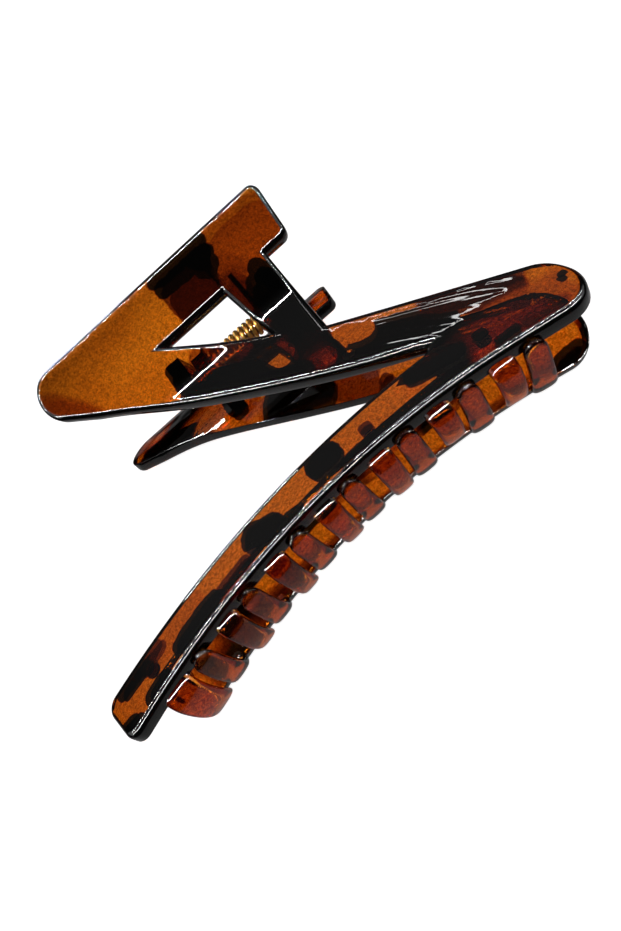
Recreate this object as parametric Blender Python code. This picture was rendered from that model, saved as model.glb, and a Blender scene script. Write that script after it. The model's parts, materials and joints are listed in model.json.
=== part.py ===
"""Claw hair clip: two zigzag plastic jaws with interlocking teeth, a hinge pin and a coil spring.

The clip is drawn in its own hinge frame: X runs along the hinge pin, Y from the front jaw to the
back jaw, Z from the comb up to the handles, and the pin lies on the X axis. An empty then lays the
finished clip down on the outside of its back jaw, the way it lies on a table.
"""
import math

import bmesh
import bpy
from mathutils import Matrix, Vector

MM = 0.001

# Plate that both jaws are cut from. Its outer edge is rounded and its inner edge is crisp.
plate_thickness = 3.1 * MM
edge_round = 1.3 * MM
edge_steps = 1

# Number of steps that each stretch of the outline is drawn with, and where the flat plate is cut
# across its length so that it bends evenly
corner_steps = 3
round_steps = 8
arm_steps = 8
comb_steps = 10
ridge_steps = 13
sharp_angle = math.radians(40)
cut_first_x = -56.0 * MM
cut_pitch = 8.0 * MM
cut_count = 13

# Flat face of the handle: straight top bar, round tip, slanting arm, cross bar, hole
top_edge_z = 11.6 * MM
top_bar_end_x = 18.6 * MM
top_bar_foot_x = 17.2 * MM
top_bar_low_z = 1.2 * MM
end_corner_radius = 0.8 * MM
tip_centre = (-42.5 * MM, 7.0 * MM)
tip_radius = 4.6 * MM
tip_arc = (90.0, 229.0)
cross_bar_x = 10.6 * MM
arm_foot = (9.9 * MM, -22.4 * MM)
hole_corners = ((-21.8 * MM, 0.9 * MM), (0.6 * MM, 0.9 * MM), (3.2 * MM, -16.4 * MM))
arm_low_start_x = -39.0 * MM

# Flat face of the comb arm: both long edges are arches, the right end is the round apex, and the
# left end stands off the jaw's own first tooth. The runs are the straight stretches that lead
# from an arch into a corner.
ridge_peak = (4.2 * MM, -51.2 * MM)
ridge_arch = 3.23
comb_top_peak = (8.2 * MM, -43.4 * MM)
comb_top_arch = 2.6
comb_end_top = 13.4 * MM
comb_end_low = 9.9 * MM
comb_corner_radius = 1.5 * MM
comb_top_run = 3.0 * MM
ridge_run = 6.0 * MM
notch = (24.4 * MM, -41.8 * MM)
notch_run = 4.0 * MM
apex_centre = (40.2 * MM, -49.3 * MM)
back_apex_shift = -1.3 * MM
apex_radius = 6.8 * MM
apex_arc = (-50.0, 57.0)
heel_angle = -68.0
heel_radius = 4.6 * MM
heel_run = 3.0 * MM

# How far the outside of each jaw stands from the middle plane
waist_half = 9.5 * MM
waist_z = -9.0 * MM
waist_bend = 5.2 * MM
flare_slope = 0.556
arm_slope = 0.05
comb_half = 8.8 * MM
comb_slope = 0.24
comb_blend = 0.5 * MM
bend_lines_mm = (6.0, 0.0, -3.5, -7.0, -10.5, -14.5, -20.0, -28.0, -36.0, -44.0, -47.5, -52.0)

# Teeth: seven in each jaw, set side by side along the comb. A station's columns are its place
# across the clip in mm, its depth under the ridge in mm, and its share of the tooth's width. The
# two teeth nearest the apex of the front jaw are shorter, and the back teeth near it are shallower.
tooth_count = 7
tooth_pitch = 13.1 * MM
tooth_width = 4.7 * MM
first_tooth_x = -50.5 * MM
end_tooth_extra = 1.5 * MM
back_tooth_shift = 5.8 * MM
tooth_root_thickness = 2.3 * MM
tooth_tip_thickness = 1.5 * MM
tooth_tip_round = 2.4 * MM
tooth_tip_power = 2.2
tooth_tip_thinning = 0.8
tooth_edge_share = 0.3
tooth_body_steps = 8
tooth_tip_steps = 3
tooth_path_steps = 64
tooth_reach = {"front": (1.0, 1.0, 1.0, 0.95, 0.93, 0.70, 0.78), "back": (1.0,) * tooth_count}
tooth_shallower = {"front": 0.0, "back": 0.5}
tooth_stations = (
    (-6.8, 0.2, 1.14),
    (-6.2, 2.0, 1.10),
    (-4.6, 3.4, 1.05),
    (-2.2, 4.1, 1.02),
    (0.6, 4.3, 1.00),
    (3.6, 4.0, 0.97),
    (6.0, 3.3, 0.94),
    (7.4, 2.7, 0.92),
    (8.2, 2.4, 0.90),
)

# Hinge. A lug's columns are its jaw, its left and right face along X, and the lowest and highest
# point of its root along Z.
pin_radius = 1.0 * MM
pin_clearance = 0.3 * MM
bore_margin = 5.0 * MM
knuckle_radius = 3.2 * MM
knuckle_arc = (-62.0, 98.0)
lug_sink = 1.2 * MM
lug_rows = (
    ("front", -21.0 * MM, -17.4 * MM, -10.5 * MM, -3.2 * MM),
    ("front", 7.4 * MM, 10.4 * MM, -8.5 * MM, -1.6 * MM),
    ("back", -16.7 * MM, -13.1 * MM, -13.4 * MM, -5.4 * MM),
    ("back", 4.0 * MM, 7.0 * MM, -8.5 * MM, -1.6 * MM),
)
pin_left_x = -20.7 * MM
pin_right_x = 10.1 * MM

# Coil spring: its legs run straight off the coil and press on the inside of both handles
wire_radius = 0.6 * MM
coil_radius = 1.95 * MM
coil_left_x = -12.1 * MM
coil_right_x = 3.0 * MM
coil_turns = 12
coil_sides = 10
leg_reach_z = 4.6 * MM
leg_gap = 0.35 * MM

# Round stubs inside the comb
stub_radius = 1.4 * MM
stub_height = 0.5 * MM
stub_sink = 0.6 * MM
stub_places = ((29.1 * MM, -48.0 * MM), (3.4 * MM, -48.3 * MM), (-26.0 * MM, -49.9 * MM),
               (-53.8 * MM, -56.0 * MM))

# How the clip lies: turned over on its back jaw, then tilted until three points touch
rest_tilt = math.radians(8.90)
rest_roll = math.radians(0.61)


def clear_scene():
    for item in list(bpy.data.objects):
        bpy.data.objects.remove(item, do_unlink=True)


def new_collection(name):
    collection = bpy.data.collections.new(name)
    bpy.context.scene.collection.children.link(collection)
    return collection


def finish(name, colour, roughness, metallic):
    material = bpy.data.materials.new(name)
    material.use_nodes = True
    shader = material.node_tree.nodes["Principled BSDF"]
    shader.inputs["Base Color"].default_value = (*colour, 1.0)
    shader.inputs["Roughness"].default_value = roughness
    shader.inputs["Metallic"].default_value = metallic
    return material


def add_object(name, mesh, collection):
    item = bpy.data.objects.new(name, mesh)
    collection.objects.link(item)
    return item


def baked_mesh(item):
    """The object's mesh with its modifiers applied, in the hinge frame."""
    graph = bpy.context.evaluated_depsgraph_get()
    mesh = bpy.data.meshes.new_from_object(item.evaluated_get(graph))
    mesh.transform(item.matrix_world)
    return mesh


def weld(mesh, distance=0.000001):
    work = bmesh.new()
    work.from_mesh(mesh)
    bmesh.ops.remove_doubles(work, verts=work.verts, dist=distance)
    bmesh.ops.recalc_face_normals(work, faces=work.faces)
    work.to_mesh(mesh)
    work.free()


def shade_round(mesh):
    """Smooth shading on the round stretches, with the real edges left sharp."""
    mesh.shade_smooth()
    mesh.set_sharp_from_angle(angle=sharp_angle)
    return mesh


def arc_points(centre, radius, start, end, steps):
    """Points on an arc, angles in degrees."""
    points = []
    for step in range(steps + 1):
        angle = math.radians(start + (end - start) * step / steps)
        points.append((centre[0] + radius * math.cos(angle), centre[1] + radius * math.sin(angle)))
    return points


def round_corner(before, corner, after, radius, steps=corner_steps):
    """A corner of an outline replaced by an arc that touches both its sides."""
    corner, before, after = Vector(corner), Vector(before), Vector(after)
    into = (before - corner).normalized()
    out = (after - corner).normalized()
    half = into.angle(out) / 2
    reach = radius / math.tan(half)
    centre = corner + (into + out).normalized() * radius / math.sin(half)
    first = corner + into * reach - centre
    last = corner + out * reach - centre
    turn = first.angle_signed(last)
    points = []
    for step in range(steps + 1):
        arm = first.copy()
        arm.rotate(Matrix.Rotation(-turn * step / steps, 2))
        points.append(tuple(centre + arm))
    return points


def arch(peak, strength, x):
    """Height of a shallow arched edge at x."""
    return peak[1] - strength * (x - peak[0]) ** 2


def ridge_z(x):
    """Lower edge of the comb's flat face, which is the line where the comb stands out furthest."""
    return arch(ridge_peak, ridge_arch, x)


def comb_top_z(x):
    return arch(comb_top_peak, comb_top_arch, x)


def arm_low_z(x):
    """Lower edge of the slanting arm, from the handle tip down to the notch."""
    along = x / MM
    return (-26.8 - 0.688 * along + 0.00227 * along ** 2 + 0.00007 * along ** 3) * MM


def spread(x, z):
    """Distance of a jaw's outside from the middle plane: handles flare out, the comb leans out."""
    up = min(z, 0.0) - waist_z
    bend = math.hypot(up, waist_bend)
    steep = (flare_slope - arm_slope) / 2
    mean = (flare_slope + arm_slope) / 2
    arm = waist_half + steep * (bend - waist_bend) + mean * up
    arm += (steep * up / bend + mean) * max(z, 0.0)
    comb = comb_half - comb_slope * (z - ridge_z(x))
    return (arm + comb) / 2 + math.hypot(arm - comb, comb_blend) / 2


def on_jaw(x, z, depth):
    """The point of the front jaw at (x, z) in its outline, sunk below its outer face."""
    probe = 0.05 * MM
    slope = (spread(x, z + probe) - spread(x, z - probe)) / (2 * probe)
    length = math.hypot(1.0, slope)
    return Vector((x, -spread(x, z) + depth / length, z + depth * slope / length))


def along_edge(edge, start, end, steps):
    """Points on one of the long edges, evenly spaced along X."""
    return [(x, edge(x)) for x in (start + (end - start) * n / steps for n in range(steps + 1))]


def jaw_outline(side):
    """Edge of the zigzag plate's flat face, anticlockwise from the foot of the top bar."""
    foot = (top_bar_foot_x, top_bar_low_z)
    end = (top_bar_end_x, top_edge_z)
    inner = (cross_bar_x, top_bar_low_z)
    first_x = first_tooth_x + (back_tooth_shift if side == "back" else 0.0)
    end_top_x = first_x - comb_end_top
    end_low_x = first_x - comb_end_low
    apex = (apex_centre[0] + (back_apex_shift if side == "back" else 0.0), apex_centre[1])
    points = round_corner(inner, foot, end, end_corner_radius)
    points += round_corner(foot, end, (0.0, top_edge_z), end_corner_radius)
    points += arc_points(tip_centre, tip_radius, *tip_arc, round_steps)
    points += along_edge(arm_low_z, arm_low_start_x, notch[0] - notch_run, arm_steps)
    points += [notch]
    points += along_edge(comb_top_z, notch[0] - notch_run, end_top_x + comb_top_run, comb_steps)
    top_corner = (end_top_x, comb_top_z(end_top_x))
    low_corner = (end_low_x, ridge_z(end_low_x))
    ridge_start = end_low_x + ridge_run
    points += round_corner(points[-1], top_corner, low_corner, comb_corner_radius)
    points += round_corner(top_corner, low_corner, (ridge_start, ridge_z(ridge_start)),
                           comb_corner_radius)
    points += along_edge(ridge_z, ridge_start, apex[0] - heel_run, ridge_steps)
    heel = (apex[0] + apex_radius * math.cos(math.radians(heel_angle)),
            apex[1] + apex_radius * math.sin(math.radians(heel_angle)))
    round_end = arc_points(apex, apex_radius, *apex_arc, round_steps)
    points += round_corner(points[-1], heel, round_end[0], heel_radius)
    points += round_end
    points += [arm_foot, inner]
    return points


def flat_plate(outline, hole, thickness, edge, collection):
    """A flat plate with its outline in X and Y and its thickness in Z, from a filled curve. Its
    rounded edge stands outside the outline."""
    curve = bpy.data.curves.new("plate_outline", "CURVE")
    curve.dimensions = "2D"
    curve.fill_mode = "BOTH"
    curve.extrude = thickness / 2 - edge
    curve.bevel_depth = edge
    curve.bevel_resolution = edge_steps
    for loop in filter(None, (outline, hole)):
        spline = curve.splines.new("POLY")
        spline.points.add(len(loop) - 1)
        for point, (across, up) in zip(spline.points, loop):
            point.co = (across, up, 0.0, 1.0)
        spline.use_cyclic_u = True
    flat = add_object("plate_outline", curve, collection)
    mesh = baked_mesh(flat)
    bpy.data.objects.remove(flat, do_unlink=True)
    weld(mesh)
    return mesh


def upper_half(mesh):
    """The half of a plate above Z = 0, closed with a flat inside."""
    work = bmesh.new()
    work.from_mesh(mesh)
    cut = bmesh.ops.bisect_plane(work, geom=work.verts[:] + work.edges[:] + work.faces[:],
                                 plane_co=(0.0, 0.0, 0.0), plane_no=(0.0, 0.0, 1.0),
                                 dist=0.000001, clear_inner=True)
    rim = [item for item in cut["geom_cut"] if isinstance(item, bmesh.types.BMEdge)]
    bmesh.ops.triangle_fill(work, edges=rim, use_beauty=True, normal=(0.0, 0.0, -1.0))
    bmesh.ops.recalc_face_normals(work, faces=work.faces)
    work.to_mesh(mesh)
    work.free()


def slice_mesh(mesh, axis, places):
    """Cuts lines into a flat plate so that it can be bent there."""
    work = bmesh.new()
    work.from_mesh(mesh)
    normal = Vector((0.0, 0.0, 0.0))
    normal[axis] = 1.0
    for place in places:
        bmesh.ops.bisect_plane(work, geom=work.verts[:] + work.edges[:] + work.faces[:],
                               plane_co=normal * place, plane_no=normal, dist=0.00001)
    work.to_mesh(mesh)
    work.free()


def bent_jaw_plate(side, collection):
    """The zigzag plate of a jaw, cut flat and then bent to the form of the front jaw."""
    mesh = flat_plate(jaw_outline(side), hole_corners, 2 * plate_thickness, edge_round, collection)
    upper_half(mesh)
    slice_mesh(mesh, 0, [cut_first_x + cut_pitch * step for step in range(cut_count)])
    slice_mesh(mesh, 1, [place * MM for place in bend_lines_mm])
    for vertex in mesh.vertices:
        across, up, out = vertex.co
        vertex.co = on_jaw(across, up, plate_thickness - out)
    return shade_round(mesh)


def through(rows, place):
    """Reads a table of stations at a place between its rows, on a smooth curve through them."""
    index = min(int(place), len(rows) - 2)
    part = place - index
    before, first, second, after = (rows[max(index - 1, 0)], rows[index], rows[index + 1],
                                    rows[min(index + 2, len(rows) - 1)])
    values = []
    for a, b, c, d in zip(before, first, second, after):
        values.append(b + 0.5 * part * (c - a + part * (2 * a - 5 * b + 4 * c - d
                                                        + part * (3 * (b - c) + d - a))))
    return values


def tooth_section(work, centre, along, outward, wide, thick):
    """A ring of eight points: an oblong across the tooth with its corners cut."""
    soft = tooth_edge_share * thick
    ring = []
    for side, level in ((-1, -1), (1, -1), (1, 1), (-1, 1)):
        corner = centre + along * side * wide / 2 + outward * level * thick / 2
        pair = [corner - outward * level * soft, corner - along * side * min(soft, wide / 4)]
        if side * level < 0:
            pair.reverse()
        ring += [work.verts.new(place) for place in pair]
    return ring


def tooth_mesh(side, number, x, width):
    """A curved tooth of the front jaw, lofted through rounded oblong sections. It leaves its own
    rim square to the arch of the comb, passes under the hair and ends under the far rim."""
    lean = 2 * ridge_arch * (x - ridge_peak[0])
    along = Vector((1.0, 0.0, -lean)).normalized()
    under = Vector((-lean, 0.0, -1.0)).normalized()
    rim = Vector((x, 0.0, ridge_z(x)))
    reach = tooth_reach[side][number]
    sink = 1.0 - tooth_shallower[side] * number / (tooth_count - 1)
    start = tooth_stations[0][0]
    tip_depth = tooth_stations[-1][1]
    path = []
    for step in range(tooth_path_steps + 1):
        across, depth, share = through(tooth_stations,
                                       step * (len(tooth_stations) - 1) / tooth_path_steps)
        across = start + (across - start) * reach
        depth = min(depth, tip_depth + (depth - tip_depth) * sink)
        path.append((rim + Vector((0.0, across * MM, 0.0)) + under * depth * MM, share))
    lengths = [0.0]
    for (first, _), (second, _) in zip(path, path[1:]):
        lengths.append(lengths[-1] + (second - first).length)
    body = lengths[-1] - tooth_tip_round
    stops = [body * step / tooth_body_steps for step in range(tooth_body_steps)]
    stops += [body + tooth_tip_round * math.sin(math.radians(90 * step / tooth_tip_steps))
              for step in range(tooth_tip_steps)]
    work = bmesh.new()
    rings = []
    for stop in stops:
        index = max(1, next(n for n, length in enumerate(lengths) if length >= stop))
        part = (stop - lengths[index - 1]) / (lengths[index] - lengths[index - 1])
        centre = path[index - 1][0].lerp(path[index][0], part)
        share = path[index - 1][1] + (path[index][1] - path[index - 1][1]) * part
        ahead = path[min(index + 1, tooth_path_steps)][0] - path[max(index - 2, 0)][0]
        done = stop / lengths[-1]
        tip = max(0.0, (stop - body) / tooth_tip_round)
        wide = width * share * (1.0 - tip ** tooth_tip_power) ** (1 / tooth_tip_power)
        thick = tooth_root_thickness + (tooth_tip_thickness - tooth_root_thickness) * done
        thick *= math.sqrt(1.0 - tooth_tip_thinning * tip ** 2)
        rings.append(tooth_section(work, centre, along, along.cross(ahead.normalized()), wide,
                                   thick))
    for first, second in zip(rings, rings[1:]):
        for corner in range(len(first)):
            follow = (corner + 1) % len(first)
            work.faces.new((first[corner], first[follow], second[follow], second[corner]))
    work.faces.new(rings[0])
    work.faces.new(rings[-1])
    bmesh.ops.recalc_face_normals(work, faces=work.faces)
    mesh = bpy.data.meshes.new("tooth")
    work.to_mesh(mesh)
    work.free()
    return shade_round(mesh)


def lug_mesh(left_x, right_x, root_low, root_high, collection):
    """A hinge lug of the front jaw: a plate across the pin, from the jaw's inside to a round
    knuckle on the pin's axis."""
    middle_x = (left_x + right_x) / 2
    high = on_jaw(middle_x, root_high, plate_thickness - lug_sink)
    low = on_jaw(middle_x, root_low, plate_thickness - lug_sink)
    points = [(low.y, low.z)]
    points += arc_points((0.0, 0.0), knuckle_radius, *knuckle_arc, round_steps)
    points += [(high.y, high.z)]
    mesh = flat_plate(points, None, right_x - left_x, 0.0, collection)
    turn = Matrix(((0, 0, 1, middle_x), (1, 0, 0, 0), (0, 1, 0, 0), (0, 0, 0, 1)))
    mesh.transform(turn)
    weld(mesh)
    return shade_round(mesh)


def cylinder_mesh(radius, start, end, sides):
    """A closed cylinder between two points."""
    work = bmesh.new()
    way = end - start
    place = Matrix.Translation((start + end) / 2) @ way.to_track_quat("Z", "Y").to_matrix().to_4x4()
    bmesh.ops.create_cone(work, cap_ends=True, segments=sides, radius1=radius, radius2=radius,
                          depth=way.length, matrix=place)
    mesh = bpy.data.meshes.new("round_bar")
    work.to_mesh(mesh)
    work.free()
    return mesh


def combine(item, tool, operation):
    """Adds a Boolean modifier; the cutter or addition stays hidden in its own collection."""
    change = item.modifiers.new(operation.lower(), "BOOLEAN")
    change.object = tool
    change.operation = operation
    change.solver = "EXACT"


def mirrored(mesh):
    """The mesh turned into its mirror image across the middle plane."""
    mesh.transform(Matrix.Diagonal((1.0, -1.0, 1.0, 1.0)))
    mesh.flip_normals()
    return mesh


def hide_tool(item):
    item.hide_render = True
    item.display_type = "WIRE"


def build_jaw(name, side, material, collection, tools):
    """One jaw. The back jaw is the mirror image of the front one, apart from where its teeth and
    lugs stand."""
    turn = mirrored if side == "back" else (lambda mesh: mesh)
    jaw = add_object(name, turn(bent_jaw_plate(side, tools)), collection)
    shift = back_tooth_shift if side == "back" else 0.0
    for number in range(tooth_count):
        extra = end_tooth_extra if side == "front" and number == 0 else 0.0
        x = first_tooth_x + shift + tooth_pitch * number - extra / 2
        tool = add_object("%s_tooth_%d" % (side, number + 1),
                          turn(tooth_mesh(side, number, x, tooth_width + extra)), tools)
        hide_tool(tool)
        combine(jaw, tool, "UNION")
    number = 0
    for owner, left_x, right_x, low, high in lug_rows:
        if owner == side:
            number += 1
            tool = add_object("%s_lug_%d" % (side, number),
                              turn(lug_mesh(left_x, right_x, low, high, tools)), tools)
            hide_tool(tool)
            combine(jaw, tool, "UNION")
    for number, (x, z) in enumerate(stub_places):
        base = on_jaw(x, z, plate_thickness - stub_sink)
        top = on_jaw(x, z, plate_thickness + stub_height)
        tool = add_object("%s_stub_%d" % (side, number + 1),
                          turn(cylinder_mesh(stub_radius, base, top, 12)), tools)
        hide_tool(tool)
        combine(jaw, tool, "UNION")
    bore_start = Vector((pin_left_x - bore_margin, 0.0, 0.0))
    bore_end = Vector((pin_right_x + bore_margin, 0.0, 0.0))
    bore = add_object(side + "_pin_bore",
                      cylinder_mesh(pin_radius + pin_clearance, bore_start, bore_end, 16), tools)
    hide_tool(bore)
    combine(jaw, bore, "DIFFERENCE")
    jaw.data.materials.append(material)
    return jaw


def build_pin(material, collection):
    mesh = cylinder_mesh(pin_radius, Vector((pin_left_x, 0, 0)), Vector((pin_right_x, 0, 0)), 16)
    pin = add_object("hinge_pin", mesh, collection)
    shade_round(mesh)
    mesh.materials.append(material)
    return pin


def leg_end():
    """Distance of a spring leg's end from the middle plane, where it meets the inside of a handle."""
    lean = math.hypot(1.0, flare_slope)
    return spread(0.0, leg_reach_z) - (plate_thickness + wire_radius) * lean - leg_gap


def spring_points():
    """Middle line of the wire: a leg from the back handle to the underside of the coil, the coil,
    and a leg from its underside to the front handle."""
    reach = math.hypot(leg_end(), leg_reach_z)
    first_angle = math.atan2(leg_reach_z, leg_end()) - math.acos(coil_radius / reach)
    last_angle = math.pi - first_angle - 2 * math.pi * coil_turns
    steps = int(coil_sides * (first_angle - last_angle) / (2 * math.pi))
    points = [Vector((coil_left_x, leg_end(), leg_reach_z))]
    for step in range(steps + 1):
        part = step / steps
        angle = first_angle + (last_angle - first_angle) * part
        points.append(Vector((coil_left_x + (coil_right_x - coil_left_x) * part,
                              coil_radius * math.cos(angle), coil_radius * math.sin(angle))))
    points.append(Vector((coil_right_x, -leg_end(), leg_reach_z)))
    return points


def build_spring(material, collection):
    curve = bpy.data.curves.new("coil_spring", "CURVE")
    curve.dimensions = "3D"
    curve.bevel_depth = wire_radius
    curve.bevel_resolution = 2
    curve.use_fill_caps = True
    points = spring_points()
    spline = curve.splines.new("POLY")
    spline.points.add(len(points) - 1)
    for point, place in zip(spline.points, points):
        point.co = (*place, 1.0)
    curve.materials.append(material)
    return add_object("coil_spring", curve, collection)


def lay_down(pieces, cutters):
    """Turns the clip over on its back jaw and sets its lowest point on the ground, centred."""
    frame = bpy.data.objects.new("lying_clip", None)
    bpy.context.scene.collection.objects.link(frame)
    over = Matrix.Rotation(math.radians(-90), 4, "X")
    tilt = Matrix.Rotation(rest_tilt, 4, "X")
    frame.matrix_world = Matrix.Rotation(rest_roll, 4, "Y") @ tilt @ over
    for item in (*pieces, *cutters):
        item.parent = frame
    bpy.context.view_layer.update()
    graph = bpy.context.evaluated_depsgraph_get()
    low = Vector((math.inf,) * 3)
    high = Vector((-math.inf,) * 3)
    for piece in pieces:
        shape = piece.evaluated_get(graph)
        for corner in bpy.data.meshes.new_from_object(shape).vertices:
            place = shape.matrix_world @ corner.co
            low = Vector(map(min, low, place))
            high = Vector(map(max, high, place))
    shift = Vector((-(low.x + high.x) / 2, -(low.y + high.y) / 2, -low.z))
    frame.matrix_world = Matrix.Translation(shift) @ frame.matrix_world
    bpy.context.view_layer.update()


def build_clip():
    clear_scene()
    clip = new_collection("claw_hair_clip")
    tools = new_collection("cutters")
    shell = finish("tortoiseshell_plastic", (0.20, 0.07, 0.015), 0.12, 0.0)
    shell_back = finish("tortoiseshell_plastic_back", (0.22, 0.08, 0.018), 0.12, 0.0)
    steel = finish("pin_steel", (0.60, 0.60, 0.60), 0.30, 1.0)
    brass = finish("spring_brass", (0.78, 0.55, 0.22), 0.28, 1.0)
    pieces = [
        build_jaw("front_jaw", "front", shell, clip, tools),
        build_jaw("back_jaw", "back", shell_back, clip, tools),
        build_pin(steel, clip),
        build_spring(brass, clip),
    ]
    lay_down(pieces, tools.objects)


build_clip()
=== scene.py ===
"""A tortoiseshell claw hair clip: two zigzag jaws that interlock, with a hinge pin and a spring.

Every piece is drawn in the clip's own hinge frame, where X runs along the pin, Y from the front jaw
to the back jaw and Z from the comb up to the handles. The finished clip lies on its back jaw.
"""
import json
import math

import bmesh
import bpy
from mathutils import Matrix, Vector


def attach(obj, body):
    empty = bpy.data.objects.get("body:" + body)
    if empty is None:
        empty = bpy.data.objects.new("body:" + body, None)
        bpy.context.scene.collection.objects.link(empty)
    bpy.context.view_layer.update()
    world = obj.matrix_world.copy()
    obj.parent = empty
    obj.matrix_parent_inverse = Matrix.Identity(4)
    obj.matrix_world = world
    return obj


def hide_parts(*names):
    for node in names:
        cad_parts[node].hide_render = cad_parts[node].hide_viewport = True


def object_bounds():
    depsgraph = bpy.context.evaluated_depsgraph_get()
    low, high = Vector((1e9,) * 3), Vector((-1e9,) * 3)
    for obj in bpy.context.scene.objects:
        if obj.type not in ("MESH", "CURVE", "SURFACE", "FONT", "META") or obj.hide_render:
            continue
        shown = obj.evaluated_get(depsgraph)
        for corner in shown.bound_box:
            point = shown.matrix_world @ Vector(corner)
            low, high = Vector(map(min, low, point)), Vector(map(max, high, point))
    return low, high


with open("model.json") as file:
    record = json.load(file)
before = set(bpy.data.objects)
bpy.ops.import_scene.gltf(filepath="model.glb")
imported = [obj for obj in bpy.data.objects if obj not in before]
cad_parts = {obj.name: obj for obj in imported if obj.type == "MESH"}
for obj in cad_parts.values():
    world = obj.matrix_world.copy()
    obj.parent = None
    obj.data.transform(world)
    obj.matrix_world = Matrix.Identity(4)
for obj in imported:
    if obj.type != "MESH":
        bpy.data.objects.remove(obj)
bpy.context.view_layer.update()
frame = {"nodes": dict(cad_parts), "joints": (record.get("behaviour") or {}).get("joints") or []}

# Front jaw
# One injection moulding of amber acetate-like plastic swirled with brown and black dye. It is a
# zigzag plate with a triangular hole, seven curved teeth under its comb, two lugs that are bored
# for the hinge pin, and four small round stubs inside the comb.

MM = 0.001

# The clip lies on its back jaw, so the hinge frame is turned over and tilted about the pin.
rest_tilt = math.radians(8.90)
rest_roll = math.radians(0.61)
hinge = Vector(frame["joints"][0]["pos_m"])
lying = (Matrix.Translation(hinge) @ Matrix.Rotation(rest_roll, 4, "Y")
         @ Matrix.Rotation(rest_tilt, 4, "X") @ Matrix.Rotation(math.radians(-90), 4, "X"))

# The plate is 3.1 mm thick, with a generous round on its outer edge and a crisp inner edge.
plate_thickness = 3.1 * MM
edge_round = 1.3 * MM
edge_steps = 6
inner_edge_break = 0.15 * MM
top_edge_z = 11.6 * MM
top_bar_end_x = 18.6 * MM
top_bar_foot_x = 17.2 * MM
top_bar_low_z = 1.2 * MM
end_corner_radius = 0.8 * MM
tip_centre = (-42.5 * MM, 7.0 * MM)
tip_radius = 4.6 * MM
tip_arc = (90.0, 229.0)
cross_bar_x = 10.6 * MM
arm_foot = (9.9 * MM, -22.4 * MM)
hole_corners = ((-21.8 * MM, 0.9 * MM), (0.6 * MM, 0.9 * MM), (3.2 * MM, -16.4 * MM))
arm_low_start_x = -39.0 * MM
arm_low_curve = (-26.8, -0.688, 0.00227, 0.00007)
ridge_peak = (4.2 * MM, -51.2 * MM)
ridge_arch = 3.23
comb_top_peak = (8.2 * MM, -43.4 * MM)
comb_top_arch = 2.6
comb_end_top = 13.4 * MM
comb_end_low = 9.9 * MM
comb_corner_radius = 1.5 * MM
comb_top_run = 3.0 * MM
ridge_run = 6.0 * MM
notch = (24.4 * MM, -41.8 * MM)
notch_run = 4.0 * MM
apex_centre = (40.2 * MM, -49.3 * MM)
back_apex_shift = -1.3 * MM
apex_radius = 6.8 * MM
apex_arc = (-50.0, 57.0)
heel_angle = -68.0
heel_radius = 4.6 * MM
heel_run = 3.0 * MM

# How far the outside stands from the middle plane: narrow at the waist, flared at the handle
waist_half = 9.5 * MM
waist_z = -9.0 * MM
waist_bend = 5.2 * MM
flare_slope = 0.556
arm_slope = 0.05
comb_half = 8.8 * MM
comb_slope = 0.24
comb_blend = 0.5 * MM

# How finely the plate is cut before it is bent, and the sharpest fold that is still smoothed
outline_step = 1.2 * MM
grid_pitch = 1.5 * MM
grid_reach_x = (-66 * MM, 48 * MM)
grid_reach_z = (-64 * MM, 12 * MM)
weld_gap = 0.001 * MM
cut_gap = 0.01 * MM
jaw_crease = math.radians(38)

# The three material slots of a jaw. The rim takes over where the edge has turned by 14 degrees. The
# rim's material is darker than the face: partly the plastic's own dye and partly painted shade, the
# dark band along the rounded edges and walls.
face_slot, tooth_slot, rim_slot = range(3)
rim_starts = math.cos(math.radians(14))

# Teeth, counted from the left end of the comb. Their reach is a share of the full length, and the
# back jaw's teeth get up to half a millimetre shallower towards the apex. A station's columns are
# its place across the clip in mm, its depth under the ridge in mm, and its share of the tooth's
# width.
tooth_count = 7
tooth_pitch = 13.1 * MM
tooth_width = 4.7 * MM
first_tooth_x = -50.5 * MM
end_tooth_extra = 1.5 * MM
back_tooth_shift = 5.8 * MM
tooth_root_thickness = 2.3 * MM
tooth_tip_thickness = 1.5 * MM
tooth_tip_round = 2.4 * MM
tooth_section_power = 0.68
tooth_tip_power = 2.2
tooth_tip_flattened = 0.8
tooth_sides = 28
tooth_body_rings = 34
tooth_tip_rings = 12
tooth_path_steps = 160
tooth_reach = {"front": (1.0, 1.0, 1.0, 0.95, 0.93, 0.70, 0.78), "back": (1.0,) * tooth_count}
tooth_shallower = {"front": 0.0, "back": 0.5}
tooth_stations = (
    (-6.5, 0.2, 1.10),
    (-6.0, 2.0, 1.08),
    (-4.6, 3.4, 1.05),
    (-2.2, 4.1, 1.02),
    (0.6, 4.3, 1.00),
    (3.6, 4.0, 0.97),
    (6.0, 3.3, 0.94),
    (7.4, 2.7, 0.92),
    (8.2, 2.4, 0.90),
)

# Lugs. The columns are the jaw, the left and right face along X, and the low and high end of the
# root along Z.
pin_radius = 1.0 * MM
pin_clearance = 0.3 * MM
pin_left_x = -20.7 * MM
pin_right_x = 10.1 * MM
bore_margin = 5.0 * MM
knuckle_radius = 3.2 * MM
knuckle_arc = (-62.0, 98.0)
lug_sink = 1.2 * MM
lug_rows = (
    ("front", -21.0 * MM, -17.4 * MM, -10.5 * MM, -3.2 * MM),
    ("front", 7.4 * MM, 10.4 * MM, -8.5 * MM, -1.6 * MM),
    ("back", -16.7 * MM, -13.1 * MM, -13.4 * MM, -5.4 * MM),
    ("back", 4.0 * MM, 7.0 * MM, -8.5 * MM, -1.6 * MM),
)
stub_radius = 1.4 * MM
stub_height = 0.5 * MM
stub_sink = 0.6 * MM
stub_places = ((29.1 * MM, -48.0 * MM), (3.4 * MM, -48.3 * MM), (-26.0 * MM, -49.9 * MM),
               (-53.8 * MM, -56.0 * MM))


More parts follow.
